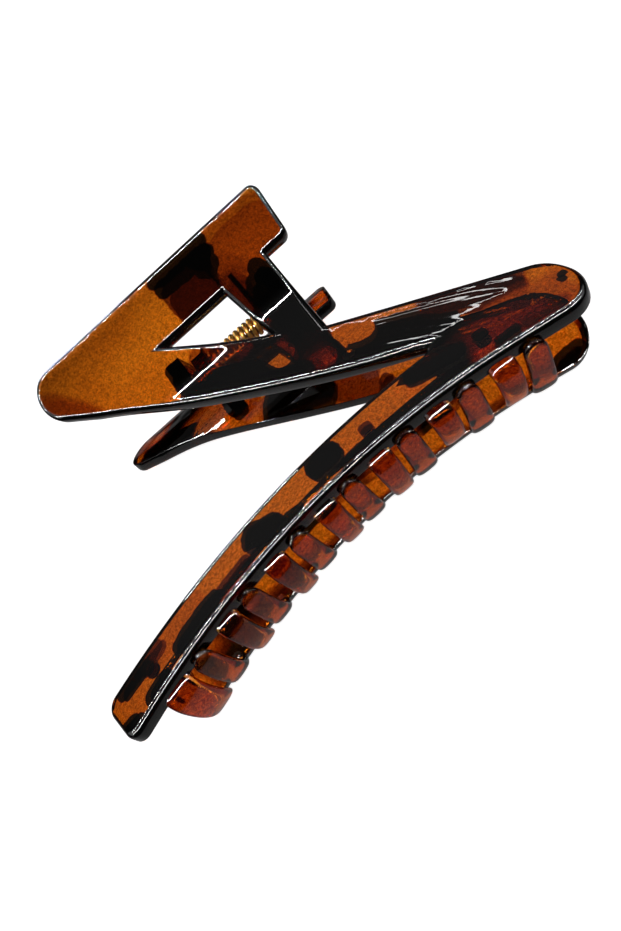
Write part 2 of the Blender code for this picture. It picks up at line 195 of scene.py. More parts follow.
def arch(peak, strength, x):
    """Height of a shallow arched edge at x."""
    return peak[1] - strength * (x - peak[0]) ** 2


def ridge_z(x):
    """Lower edge of the comb's face, the line where the comb stands out furthest."""
    return arch(ridge_peak, ridge_arch, x)


def comb_top_z(x):
    """Upper edge of the comb's face."""
    return arch(comb_top_peak, comb_top_arch, x)


def arm_low_z(x):
    """Lower edge of the slanting arm, from the handle tip down to the notch: a cubic in mm."""
    along = x / MM
    return sum(factor * along ** power for power, factor in enumerate(arm_low_curve)) * MM


def spread(x, z):
    """Distance of a jaw's outside from the middle plane: handles flare out, the comb leans out."""
    up = min(z, 0.0) - waist_z
    bend = math.hypot(up, waist_bend)
    steep = (flare_slope - arm_slope) / 2
    mean = (flare_slope + arm_slope) / 2
    arm = waist_half + steep * (bend - waist_bend) + mean * up
    arm += (steep * up / bend + mean) * max(z, 0.0)
    comb = comb_half - comb_slope * (z - ridge_z(x))
    return (arm + comb) / 2 + math.hypot(arm - comb, comb_blend) / 2


def on_jaw(x, z, depth):
    """The point of the front jaw at (x, z) in its outline, sunk below its outer face."""
    probe = 0.05 * MM
    slope = (spread(x, z + probe) - spread(x, z - probe)) / (2 * probe)
    length = math.hypot(1.0, slope)
    return Vector((x, -spread(x, z) + depth / length, z + depth * slope / length))


def arc_points(centre, radius, start, end):
    """Points on an arc, angles in degrees."""
    steps = max(6, int(abs(end - start) / 6))
    points = []
    for step in range(steps + 1):
        angle = math.radians(start + (end - start) * step / steps)
        points.append((centre[0] + radius * math.cos(angle), centre[1] + radius * math.sin(angle)))
    return points


def round_corner(before, corner, after, radius, steps=8):
    """A corner of an outline replaced by an arc that touches both its sides."""
    corner, before, after = Vector(corner), Vector(before), Vector(after)
    into = (before - corner).normalized()
    out = (after - corner).normalized()
    half = into.angle(out) / 2
    centre = corner + (into + out).normalized() * radius / math.sin(half)
    first = corner + into * radius / math.tan(half) - centre
    last = corner + out * radius / math.tan(half) - centre
    turn = first.angle_signed(last)
    points = []
    for step in range(steps + 1):
        arm = first.copy()
        arm.rotate(Matrix.Rotation(-turn * step / steps, 2))
        points.append(tuple(centre + arm))
    return points


def along_edge(edge, start, end):
    """Points on one of the long edges, evenly spaced along X."""
    steps = int(abs(end - start) / outline_step)
    return [(x, edge(x)) for x in (start + (end - start) * n / steps for n in range(steps + 1))]


def jaw_outline(side):
    """Edge of the zigzag plate's flat face, anticlockwise from the foot of the top bar."""
    foot = (top_bar_foot_x, top_bar_low_z)
    end = (top_bar_end_x, top_edge_z)
    inner = (cross_bar_x, top_bar_low_z)
    first_x = first_tooth_x + (back_tooth_shift if side == "back" else 0.0)
    end_top_x = first_x - comb_end_top
    end_low_x = first_x - comb_end_low
    apex = (apex_centre[0] + (back_apex_shift if side == "back" else 0.0), apex_centre[1])
    points = round_corner(inner, foot, end, end_corner_radius)
    points += round_corner(foot, end, (0.0, top_edge_z), end_corner_radius)
    points += arc_points(tip_centre, tip_radius, *tip_arc)
    points += along_edge(arm_low_z, arm_low_start_x, notch[0] - notch_run)
    points += [notch]
    points += along_edge(comb_top_z, notch[0] - notch_run, end_top_x + comb_top_run)
    top_corner = (end_top_x, comb_top_z(end_top_x))
    low_corner = (end_low_x, ridge_z(end_low_x))
    ridge_start = end_low_x + ridge_run
    points += round_corner(points[-1], top_corner, low_corner, comb_corner_radius)
    points += round_corner(top_corner, low_corner, (ridge_start, ridge_z(ridge_start)),
                           comb_corner_radius)
    points += along_edge(ridge_z, ridge_start, apex[0] - heel_run)
    heel = (apex[0] + apex_radius * math.cos(math.radians(heel_angle)),
            apex[1] + apex_radius * math.sin(math.radians(heel_angle)))
    round_end = arc_points(apex, apex_radius, *apex_arc)
    points += round_corner(points[-1], heel, round_end[0], heel_radius)
    points += round_end
    points += [arm_foot, inner]
    return points


def weld(mesh):
    """Joins doubled points and turns every face outwards."""
    work = bmesh.new()
    work.from_mesh(mesh)
    bmesh.ops.remove_doubles(work, verts=work.verts, dist=weld_gap)
    bmesh.ops.recalc_face_normals(work, faces=work.faces)
    work.to_mesh(mesh)
    work.free()


def flat_plate(outline, hole, thickness, edge):
    """A flat plate with its outline in X and Y and its middle at Z = 0. Its rounded edge stands
    outside the outline."""
    curve = bpy.data.curves.new("plate_outline", "CURVE")
    curve.dimensions = "2D"
    curve.fill_mode = "BOTH"
    curve.extrude = thickness / 2 - edge
    curve.bevel_depth = edge
    curve.bevel_resolution = edge_steps
    for loop in filter(None, (outline, hole)):
        spline = curve.splines.new("POLY")
        spline.points.add(len(loop) - 1)
        for point, (across, up) in zip(spline.points, loop):
            point.co = (across, up, 0.0, 1.0)
        spline.use_cyclic_u = True
    flat = bpy.data.objects.new("plate_outline", curve)
    bpy.context.scene.collection.objects.link(flat)
    graph = bpy.context.evaluated_depsgraph_get()
    mesh = bpy.data.meshes.new_from_object(flat.evaluated_get(graph))
    bpy.data.objects.remove(flat, do_unlink=True)
    weld(mesh)
    return mesh


def upper_half(mesh):
    """The half of a plate above Z = 0, closed with a flat inside whose edge is barely broken."""
    work = bmesh.new()
    work.from_mesh(mesh)
    cut = bmesh.ops.bisect_plane(work, geom=work.verts[:] + work.edges[:] + work.faces[:],
                                 plane_co=(0.0, 0.0, 0.0), plane_no=(0.0, 0.0, 1.0),
                                 dist=weld_gap, clear_inner=True)
    rim = [item for item in cut["geom_cut"] if isinstance(item, bmesh.types.BMEdge)]
    bmesh.ops.triangle_fill(work, edges=rim, use_beauty=True, normal=(0.0, 0.0, -1.0))
    bmesh.ops.bevel(work, geom=rim, offset=inner_edge_break, segments=2, profile=0.5,
                    affect="EDGES")
    bmesh.ops.recalc_face_normals(work, faces=work.faces)
    work.to_mesh(mesh)
    work.free()


def cut_grid(mesh, axis, low, high):
    """Cuts evenly spaced lines into a flat plate so that it bends smoothly."""
    work = bmesh.new()
    work.from_mesh(mesh)
    normal = Vector((0.0, 0.0, 0.0))
    normal[axis] = 1.0
    for step in range(int((high - low) / grid_pitch) + 1):
        bmesh.ops.bisect_plane(work, geom=work.verts[:] + work.edges[:] + work.faces[:],
                               plane_co=normal * (low + grid_pitch * step), plane_no=normal,
                               dist=cut_gap)
    work.to_mesh(mesh)
    work.free()


def bent_plate(side):
    """The zigzag plate of a jaw, cut flat and then bent to the form of the front jaw."""
    mesh = flat_plate(jaw_outline(side), hole_corners, 2 * plate_thickness, edge_round)
    upper_half(mesh)
    cut_grid(mesh, 0, *grid_reach_x)
    cut_grid(mesh, 1, *grid_reach_z)
    for face in mesh.polygons:
        face.material_index = face_slot if abs(face.normal.z) > rim_starts else rim_slot
    for vertex in mesh.vertices:
        across, up, out = vertex.co
        vertex.co = on_jaw(across, up, plate_thickness - out)
    return mesh


def through(rows, place):
    """Reads a table of stations at a place between its rows, on a smooth curve through them."""
    index = min(int(place), len(rows) - 2)
    part = place - index
    before, first, second, after = (rows[max(index - 1, 0)], rows[index], rows[index + 1],
                                    rows[min(index + 2, len(rows) - 1)])
    values = []
    for a, b, c, d in zip(before, first, second, after):
        values.append(b + 0.5 * part * (c - a + part * (2 * a - 5 * b + 4 * c - d
                                                        + part * (3 * (b - c) + d - a))))
    return values


def tooth_mesh(side, number, x, width):
    """A curved tooth of the front jaw. It leaves its own rim square to the arch of the comb,
    passes under the hair and ends under the far rim in a round tip."""
    lean = 2 * ridge_arch * (x - ridge_peak[0])
    along = Vector((1.0, 0.0, -lean)).normalized()
    under = Vector((-lean, 0.0, -1.0)).normalized()
    rim = Vector((x, 0.0, ridge_z(x)))
    reach = tooth_reach[side][number]
    sink = 1.0 - tooth_shallower[side] * number / (tooth_count - 1)
    start = tooth_stations[0][0]
    tip_depth = tooth_stations[-1][1]
    path = []
    for step in range(tooth_path_steps + 1):
        place = step * (len(tooth_stations) - 1) / tooth_path_steps
        across, depth, share = through(tooth_stations, place)
        across = start + (across - start) * reach
        depth = min(depth, tip_depth + (depth - tip_depth) * sink)
        path.append((rim + Vector((0.0, across * MM, 0.0)) + under * depth * MM, share))
    lengths = [0.0]
    for (first, _), (second, _) in zip(path, path[1:]):
        lengths.append(lengths[-1] + (second - first).length)
    body = lengths[-1] - tooth_tip_round
    stops = [body * step / tooth_body_rings for step in range(tooth_body_rings)]
    for step in range(tooth_tip_rings):
        quarter = math.radians(90 * step / tooth_tip_rings)
        stops.append(body + tooth_tip_round * math.sin(quarter))
    work = bmesh.new()
    rings = []
    for stop in stops:
        index = max(next(n for n, length in enumerate(lengths) if length >= stop), 1)
        part = (stop - lengths[index - 1]) / (lengths[index] - lengths[index - 1])
        centre = path[index - 1][0].lerp(path[index][0], part)
        share = path[index - 1][1] + (path[index][1] - path[index - 1][1]) * part
        ahead = path[min(index + 1, tooth_path_steps)][0] - path[max(index - 2, 0)][0]
        outward = along.cross(ahead.normalized())
        done = stop / lengths[-1]
        thick = tooth_root_thickness + (tooth_tip_thickness - tooth_root_thickness) * done
        wide = width * share
        tip = max(0.0, (stop - body) / tooth_tip_round)
        wide *= (1.0 - tip ** tooth_tip_power) ** (1 / tooth_tip_power)
        thick *= math.sqrt(1.0 - tooth_tip_flattened * tip ** 2)
        ring = []
        for corner in range(tooth_sides):
            angle = 2 * math.pi * corner / tooth_sides
            level = [math.copysign(abs(value) ** tooth_section_power, value)
                     for value in (math.cos(angle), math.sin(angle))]
            ring.append(work.verts.new(centre + along * level[0] * wide / 2
                                       + outward * level[1] * thick / 2))
        rings.append(ring)
    for first, second in zip(rings, rings[1:]):
        for corner in range(tooth_sides):
            follow = (corner + 1) % tooth_sides
            work.faces.new((first[corner], first[follow], second[follow], second[corner]))
    work.faces.new(rings[0])
    work.faces.new(rings[-1])
    bmesh.ops.recalc_face_normals(work, faces=work.faces)
    mesh = bpy.data.meshes.new("tooth")
    work.to_mesh(mesh)
    work.free()
    return mesh


def lug_mesh(left_x, right_x, root_low, root_high):
    """A hinge lug of the front jaw: a plate across the pin, from the jaw's inside to a round
    knuckle on the pin's axis."""
    middle_x = (left_x + right_x) / 2
    high = on_jaw(middle_x, root_high, plate_thickness - lug_sink)
    low = on_jaw(middle_x, root_low, plate_thickness - lug_sink)
    points = [(low.y, low.z)] + arc_points((0.0, 0.0), knuckle_radius, *knuckle_arc)
    points += [(high.y, high.z)]
    mesh = flat_plate(points, None, right_x - left_x, 0.0)
    mesh.transform(Matrix(((0, 0, 1, middle_x), (1, 0, 0, 0), (0, 1, 0, 0), (0, 0, 0, 1))))
    weld(mesh)
    return mesh


def round_bar(radius, start, end, sides=32):
    """A closed round bar between two points."""
    work = bmesh.new()
    way = end - start
    place = Matrix.Translation((start + end) / 2) @ way.to_track_quat("Z", "Y").to_matrix().to_4x4()
    bmesh.ops.create_cone(work, cap_ends=True, segments=sides, radius1=radius, radius2=radius,
                          depth=way.length, matrix=place)
    mesh = bpy.data.meshes.new("round_bar")
    work.to_mesh(mesh)
    work.free()
    return mesh


def joined(meshes, name, materials, slot_number=None):
    """Several meshes as one object, in the material slots they have or all in one."""
    work = bmesh.new()
    for mesh in meshes:
        work.from_mesh(mesh)
        bpy.data.meshes.remove(mesh)
    if slot_number is not None:
        for face in work.faces:
            face.material_index = slot_number
    mesh = bpy.data.meshes.new(name)
    work.to_mesh(mesh)
    work.free()
    for material in materials:
        mesh.materials.append(material)
    item = bpy.data.objects.new(name, mesh)
    bpy.context.scene.collection.objects.link(item)
    return item


def moulded_jaw(name, side, materials):
    """One jaw: plate, teeth, lugs and stubs joined into one body and bored for the pin."""
    plate = joined([bent_plate(side)], name, materials)
    shift = back_tooth_shift if side == "back" else 0.0
    grown = []
    for number in range(tooth_count):
        extra = end_tooth_extra if side == "front" and number == 0 else 0.0
        x = first_tooth_x + shift + tooth_pitch * number - extra / 2
        grown.append(tooth_mesh(side, number, x, tooth_width + extra))
    for owner, left_x, right_x, low, high in lug_rows:
        if owner == side:
            grown.append(lug_mesh(left_x, right_x, low, high))
    for x, z in stub_places:
        grown.append(round_bar(stub_radius, on_jaw(x, z, plate_thickness - stub_sink),
                               on_jaw(x, z, plate_thickness + stub_height)))
    grown = joined(grown, side + "_grown", materials, tooth_slot)
    bore = joined([round_bar(pin_radius + pin_clearance,
                             Vector((pin_left_x - bore_margin, 0.0, 0.0)),
                             Vector((pin_right_x + bore_margin, 0.0, 0.0)))],
                  side + "_bore", materials, tooth_slot)
    for tool, operation in ((grown, "UNION"), (bore, "DIFFERENCE")):
        change = plate.modifiers.new(operation.lower(), "BOOLEAN")
        change.object = tool
        change.operation = operation
        change.solver = "EXACT"
    graph = bpy.context.evaluated_depsgraph_get()
    mesh = bpy.data.meshes.new_from_object(plate.evaluated_get(graph))
    plate.modifiers.clear()
    for tool in (grown, bore):
        bpy.data.objects.remove(tool, do_unlink=True)
    if side == "back":
        mesh.transform(Matrix.Diagonal((1.0, -1.0, 1.0, 1.0)))
        mesh.flip_normals()
    mesh.transform(lying)
    plate.data = mesh
    mesh.shade_smooth()
    mesh.set_sharp_from_angle(angle=jaw_crease)
    # the line where a tooth, lug or stub meets the plate stays crisp
    meeting = {}
    for face in mesh.polygons:
        for key in face.edge_keys:
            meeting.setdefault(key, set()).add(face.material_index == tooth_slot)
    for edge in mesh.edges:
        if len(meeting[edge.key]) > 1:
            edge.use_edge_sharp = True
    return plate


def new_group(name, inputs, outputs):
    """An empty shader node group with named sockets; a socket's row is its name, kind and value."""
    group = bpy.data.node_groups.new(name, "ShaderNodeTree")
    for in_out, rows in (("INPUT", inputs), ("OUTPUT", outputs)):
        for title, kind, value in rows:
            socket = group.interface.new_socket(name=title, in_out=in_out,
                                                socket_type="NodeSocket" + kind)
            if value is not None:
                socket.default_value = value
    given = group.nodes.new("NodeGroupInput").outputs
    result = group.nodes.new("NodeGroupOutput").inputs
    return group, given, result


def node(tree, kind, settings, **linked):
    """A node with its settings and inputs. An input's key is in_ and its place in the node's list
    of inputs, and its value is an output to link from or a plain value."""
    made = tree.nodes.new(kind)
    for key, value in settings.items():
        setattr(made, key, value)
    for key, value in linked.items():
        socket = made.inputs[int(key[3:])]
        if isinstance(value, bpy.types.NodeSocket):
            tree.links.new(value, socket)
        else:
            socket.default_value = value
    return made.outputs


def maths(tree, operation, first, second=0.0, clamp=False):
    """The result of one arithmetic operation on two values."""
    settings = {"operation": operation, "use_clamp": clamp}
    return node(tree, "ShaderNodeMath", settings, in_0=first, in_1=second)[0]


def placed(tree, group, **linked):
    """A shader group placed in a material. An input's key is its title in small letters with
    underscores, and its value is an output to link from or a plain value."""
    made = tree.nodes.new("ShaderNodeGroup")
    made.node_tree = group
    for key, value in linked.items():
        socket = made.inputs[key.replace("_", " ").title()]
        if isinstance(value, bpy.types.NodeSocket):
            tree.links.new(value, socket)
        else:
            socket.default_value = value
    return made.outputs


# How oblong the dye patches are, from oval at 0 to a rounded box at 1
patch_boxiness = 0.6

# The noise values between which a swirl goes from its least dye to its most
swirl_fade = (0.40, 0.60)

# Fine specks in the plastic: their fineness, the noise values between which they fade, and the
# darkest and lightest shade
speck_fineness = 1.5
speck_fade = (0.36, 0.62)
speck_shades = (0.36, 1.15)

# How far the border of a dye patch strays, in mm, and how finely
stray_reach = 0.7
stray_fineness = 0.30

# The skin's slow waves, and its flow lines: their fineness, and the flow lines' turn and stretch
wave_fineness = 0.12
flow_fineness = 0.36
flow_turn = math.radians(-38)
flow_stretch = (14.0, 1.6, 6.0)


def dye_patch_group():
    """One patch laid over what is there, mostly more dye and for a few painted shade: an oval or
    oblong with a soft border.
    """
    group, given, result = new_group(
        "dye_and_shade_patch",
        (("Place", "Vector", None), ("Under", "Float", 0.0), ("Centre", "Vector", None),
         ("Turn", "Vector", None), ("Half Size", "Vector", (1.0, 1.0, 1.0)), ("Dye", "Float", 1.0),
         ("Softness", "Float", 0.2)),
        (("Dye", "Float", None),))
    seat = node(group, "ShaderNodeMapping", {"vector_type": "TEXTURE"}, in_0=given["Place"],
                in_1=given["Centre"], in_2=given["Turn"], in_3=given["Half Size"])[0]
    square = node(group, "ShaderNodeVectorMath", {"operation": "MULTIPLY"}, in_0=seat, in_1=seat)[0]
    fourth = node(group, "ShaderNodeVectorMath", {"operation": "MULTIPLY"},
                  in_0=square, in_1=square)[0]
    rounded = node(group, "ShaderNodeMix", {"data_type": "VECTOR"}, in_0=patch_boxiness,
                   in_4=square, in_5=fourth)[1]
    far = node(group, "ShaderNodeVectorMath", {"operation": "DOT_PRODUCT"}, in_0=rounded,
               in_1=(1.0, 1.0, 0.0))[1]
    inside = maths(group, "DIVIDE", maths(group, "SUBTRACT", 1.0, far), given["Softness"])
    mask = maths(group, "ADD", inside, 0.5, clamp=True)
    gain = maths(group, "MULTIPLY", maths(group, "SUBTRACT", given["Dye"], given["Under"]), mask)
    group.links.new(maths(group, "ADD", given["Under"], gain), result["Dye"])
    return group


def dye_swirl_group():
    """The plastic's own swirls, from their least dye to their most."""
    group, given, result = new_group(
        "dye_swirl",
        (("Place", "Vector", None), ("Fineness", "Float", 0.1), ("Least Dye", "Float", 0.0),
         ("Most Dye", "Float", 1.0)),
        (("Dye", "Float", None),))
    swirl = node(group, "ShaderNodeTexNoise", {}, in_0=given["Place"], in_2=given["Fineness"],
                 in_3=1.0)[0]
    dye = node(group, "ShaderNodeMapRange", {}, in_0=swirl, in_1=swirl_fade[0], in_2=swirl_fade[1],
               in_3=given["Least Dye"], in_4=given["Most Dye"])[0]
    group.links.new(dye, result["Dye"])
    return group


def dye_colour_group():
    """Amount of dye to the colour of the plastic, with fine specks in it."""
    group, given, result = new_group(
        "dye_colour",
        (("Place", "Vector", None), ("Dye", "Float", 0.0)),
        (("Color", "Color", None),))
    ramp = group.nodes.new("ShaderNodeValToRGB")
    group.links.new(given["Dye"], ramp.inputs[0])
    ends = ramp.color_ramp.elements
    for number, (stop, colour) in enumerate(dye_colours):
        end = ends[number] if number < 2 else ends.new(stop)
        end.position = stop
        end.color = (*colour, 1.0)
    speck = node(group, "ShaderNodeTexNoise", {}, in_0=given["Place"], in_2=speck_fineness,
                 in_3=3.0, in_4=0.75, in_8=0.8)[0]
    shade = node(group, "ShaderNodeMapRange", {}, in_0=speck, in_1=speck_fade[0],
                 in_2=speck_fade[1], in_3=speck_shades[0], in_4=speck_shades[1])[0]
    mixed = node(group, "ShaderNodeMix", {"data_type": "RGBA", "blend_type": "MULTIPLY"}, in_0=1.0,
                 in_6=ramp.outputs[0], in_7=shade)[2]
    group.links.new(mixed, result["Color"])
    return group


def ripple_group():
    """Height of the polished skin in mm: slow waves all over, and flow lines in one place."""
    group, given, result = new_group(
        "polish_ripple",
        (("Place", "Vector", None), ("Waves", "Float", 0.0), ("Flow Lines", "Float", 0.0)),
        (("Height", "Float", None),))
    slow = node(group, "ShaderNodeTexNoise", {}, in_0=given["Place"], in_2=wave_fineness,
                in_3=1.0)[0]
    lines = node(group, "ShaderNodeMapping", {"vector_type": "TEXTURE"}, in_0=given["Place"],
                 in_2=(0.0, 0.0, flow_turn), in_3=flow_stretch)[0]
    grain = node(group, "ShaderNodeTexNoise", {}, in_0=lines, in_2=flow_fineness, in_3=1.2,
                 in_8=1.6)[0]
    flow = maths(group, "MULTIPLY", grain, given["Flow Lines"])
    waves = maths(group, "MULTIPLY", slow, given["Waves"])
    group.links.new(maths(group, "ADD", waves, flow), result["Height"])
    return group


# Amount of dye, and the colour that light has after it passes a wall. The two ends come first.
dye_colours = (
    (0.0, (0.90, 0.50, 0.100)),
    (1.0, (0.0006, 0.0006, 0.0008)),
    (0.20, (0.68, 0.30, 0.050)),
    (0.45, (0.40, 0.11, 0.020)),
    (0.75, (0.07, 0.012, 0.006)),
    (0.92, (0.004, 0.002, 0.002)),
)
dye_and_shade_patch = dye_patch_group()
dye_swirl = dye_swirl_group()
dye_colour = dye_colour_group()
polish_ripple = ripple_group()
plastic_ior = 1.49
plastic_depth_colour = (0.82, 0.56, 0.0, 1.0)
plastic_depth_density = 1000.0


def laid_patch(tree, seat, under, patch):
    """A row of a table of patches, laid over the dye that is there."""
    x, z, half_long, half_wide, turn, amount, softness = patch
    return placed(tree, dye_and_shade_patch, place=seat, under=under, centre=(x, z, 0.0),
                  turn=(0.0, 0.0, math.radians(turn)), half_size=(half_long, half_wide, 1.0),
                  dye=amount, softness=softness)["Dye"]


def tortoiseshell(name, patches, marks, blob_size, blob_range, gloss, waves, flow_place=None):
    """Clear amber plastic with patches of dye, a few of which are painted shade. A patch's columns
    are x and z of its centre, half its length and width, its turn in degrees, its dye and how soft
    its border is; later patches lie over earlier ones. Marks are patches whose border doesn't
    stray, such as painted shadows. Blobs are the plastic's own swirls, in mm, from the first dye to
    the second. The waves and the flow lines of the skin are in mm, and the flow lines are laid like
    a patch."""
    material = bpy.data.materials.new(name)
    material.use_nodes = True
    tree = material.node_tree
    shader = tree.nodes["Principled BSDF"]
    flat = Matrix.Rotation(math.radians(-90), 4, "X") @ lying.inverted()
    where = node(tree, "ShaderNodeTexCoord", {})["Object"]
    place = node(tree, "ShaderNodeMapping", {}, in_0=where, in_1=flat.translation / MM,
                 in_2=flat.to_euler(), in_3=(1 / MM, 1 / MM, 1 / MM))[0]
    wobble = node(tree, "ShaderNodeTexNoise", {}, in_0=place, in_2=stray_fineness, in_3=2.5)[1]
    stray = node(tree, "ShaderNodeVectorMath", {"operation": "MULTIPLY_ADD"}, in_0=wobble,
                 in_1=(2 * stray_reach, 2 * stray_reach, 0.0),
                 in_2=(-stray_reach, -stray_reach, 0.0))[0]
    warped = node(tree, "ShaderNodeVectorMath", {"operation": "ADD"}, in_0=place, in_1=stray)[0]
    dye = placed(tree, dye_swirl, place=warped, fineness=1 / blob_size, least_dye=blob_range[0],
                 most_dye=blob_range[1])["Dye"]
    for patch in patches:
        dye = laid_patch(tree, warped, dye, patch)
    for mark in marks:
        dye = laid_patch(tree, place, dye, mark)
    colour = placed(tree, dye_colour, place=place, dye=dye)["Color"]
    tree.links.new(colour, shader.inputs["Base Color"])
    flow = laid_patch(tree, place, 0.0, flow_place) if flow_place else 0.0
    height = placed(tree, polish_ripple, place=place, waves=waves, flow_lines=flow)["Height"]
    relief = node(tree, "ShaderNodeBump", {}, in_0=1.0, in_1=MM, in_3=height)[0]
    tree.links.new(relief, shader.inputs["Normal"])
    shader.inputs["Roughness"].default_value = gloss
    shader.inputs["IOR"].default_value = plastic_ior
    shader.inputs["Transmission Weight"].default_value = 1.0
    depth = tree.nodes.new("ShaderNodeVolumeAbsorption")
    depth.inputs["Color"].default_value = plastic_depth_colour
    depth.inputs["Density"].default_value = plastic_depth_density
    tree.links.new(depth.outputs["Volume"], tree.nodes["Material Output"].inputs["Volume"])
    return material


# x, z, half length, half width, turn, dye, softness
front_patches = (
    # top bar and handle tip
    (-43.5, 3.0, 9.0, 3.0, -50, 0.46, 1.0),
    (-5.7, 4.4, 5.9, 5.0, 0, 0.80, 0.15),
    (0.9, 3.6, 1.3, 4.6, 0, 0.93, 0.4),
    (10.8, 5.6, 9.2, 6.6, 0, 0.42, 0.15),
    (3.9, 2.2, 3.0, 3.6, 30, 0.58, 0.8),
    (-4.0, 10.6, 8.4, 2.1, 0, 1.00, 0.15),
    (0.4, 8.6, 2.9, 2.9, 45, 1.00, 0.20),
    # cross bar
    (3.6, -8.0, 3.2, 10.5, 9, 0.74, 0.3),
    (7.6, -11.5, 4.0, 10.4, 7, 1.00, 0.15),
    (9.2, -3.6, 2.4, 4.4, 20, 1.00, 0.15),
    # slanting arm, from the handle down to the apex
    (-13.8, -11.0, 4.2, 7.0, -32, 0.62, 0.4),
    # painted shade: the dark of the front lug seen through the arm, laid as a black patch over the
    # lug's root
    (-19.6, -7.6, 2.2, 3.8, 0, 0.97, 0.12),
    (-18.8, -13.6, 3.8, 3.4, -35, 1.00, 0.15),
    (-6.6, -11.6, 6.2, 3.2, -36, 0.30, 0.5),
    (-8.5, -19.0, 9.5, 4.6, -36, 1.00, 0.12),
    (4.5, -29.0, 11.5, 3.2, -36, 1.00, 0.12),
    (6.0, -21.8, 5.0, 3.6, -30, 0.90, 0.3),
    (-0.2, -18.8, 3.0, 4.3, 22, 0.17, 0.12),
    (5.8, -27.3, 3.6, 3.3, -10, 0.62, 0.3),
    (6.9, -28.3, 1.2, 2.2, 5, 0.20, 0.4),
    (20.0, -36.2, 11.0, 5.2, -34, 1.00, 0.12),
    (34.0, -38.8, 10.0, 3.4, -35, 0.86, 0.3),
    (14.3, -27.2, 4.4, 3.4, -28, 0.20, 0.12),
    (9.9, -27.4, 0.6, 4.2, 8, 0.97, 0.3),
    (10.4, -31.4, 1.3, 0.8, -10, 0.0, 0.3),
    # apex
    (33.5, -47.2, 9.5, 4.6, -12, 0.42, 0.8),
    (43.5, -51.5, 4.4, 5.4, 10, 0.30, 0.5),
    (38.5, -53.3, 5.0, 1.5, -9, 0.66, 0.8),
    (31.8, -52.2, 2.6, 1.2, 0, 0.95, 0.6),
    (46.0, -49.2, 0.9, 0.8, 0, 1.00, 0.3),
    (46.9, -51.2, 1.0, 1.3, 0, 0.0, 0.3),
    # comb, from the notch to its left end
    (7.0, -46.8, 9.6, 2.8, -2, 0.12, 0.15),
    (20.0, -46.2, 6.2, 2.4, -16, 0.96, 0.2),
    (10.0, -50.7, 15.0, 1.1, -2, 0.93, 0.4),
    (-15.0, -47.6, 6.2, 3.0, 6, 0.08, 0.12),
    (-6.0, -46.4, 3.9, 3.4, 8, 1.00, 0.12),
    (-34.0, -50.2, 8.4, 2.9, 14, 0.10, 0.12),
    (-22.6, -49.9, 4.5, 3.0, -20, 1.00, 0.12),
    (-17.6, -52.2, 4.2, 1.6, -4, 1.00, 0.12),
    (-31.0, -53.7, 4.6, 1.6, 13, 0.86, 0.3),
    (-47.0, -53.8, 9.0, 3.4, 19, 0.22, 0.2),
    (-41.0, -55.9, 6.6, 2.2, 16, 1.00, 0.12),
    (-60.5, -59.0, 5.0, 5.0, 20, 0.16, 0.2),
    (-57.0, -55.7, 5.0, 1.6, 19, 1.00, 0.15),
    (-51.6, -54.3, 2.3, 1.5, 19, 0.80, 0.5),
    (-52.5, -61.2, 3.4, 1.7, 20, 1.00, 0.12),
    (-60.2, -64.0, 2.6, 2.0, 0, 1.00, 0.2),
)
front_marks = (
    # the dark round shadows of the four stubs
    (29.1, -48.1, 1.4, 1.4, 0, 0.97, 0.4),
    (3.5, -47.6, 1.4, 1.4, 0, 0.86, 0.4),
    (-26.0, -50.2, 1.4, 1.4, 0, 0.97, 0.4),
    (-53.7, -56.4, 1.5, 1.5, 0, 0.90, 0.4),
)
# where the plastic left flow lines in its skin, in the same columns, with their height for the dye
flow_lines = (28.5, -39.0, 13.0, 6.5, -35, 0.13, 1.2)

rim_patches = (
    (-30.2, -56.3, 3.4, 1.6, 13, 0.12, 0.15),
    (-14.0, -53.6, 1.3, 2.2, 0, 0.30, 0.3),
    (-4.5, -52.8, 5.0, 1.2, 0, 0.62, 0.6),
    (33.0, -54.5, 9.0, 1.6, -10, 0.80, 0.8),
    (47.8, -50.5, 1.4, 1.8, 0, 0.02, 0.3),
)
tooth_patches = (
    (38.0, -60.0, 12.0, 5.0, 0, 0.02, 1.0),
)

# The front rim's dye runs from 0.74 to 1.0, almost black: partly the plastic's own dye, partly
# painted shade along the rounded edges and walls.
front_jaw = moulded_jaw("front_jaw_shell", "front", (
    tortoiseshell("tortoiseshell_front", front_patches, front_marks, 14.0, (0.0, 0.10), 0.03, 0.03,
                  flow_lines),
    tortoiseshell("tortoiseshell_front_teeth", tooth_patches, (), 7.0, (0.0, 0.18), 0.06, 0.03),
    tortoiseshell("tortoiseshell_front_rim_dye_and_painted_shade", rim_patches, (), 9.0, (0.74, 1.0), 0.11, 0.01)))
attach(front_jaw, "front_half")
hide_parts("front_jaw")

# Back jaw
# The second moulding, the mirror image of the first except that its teeth and lugs stand beside
# those of the front jaw and its comb is a little shorter at both ends. The clip lies on it.

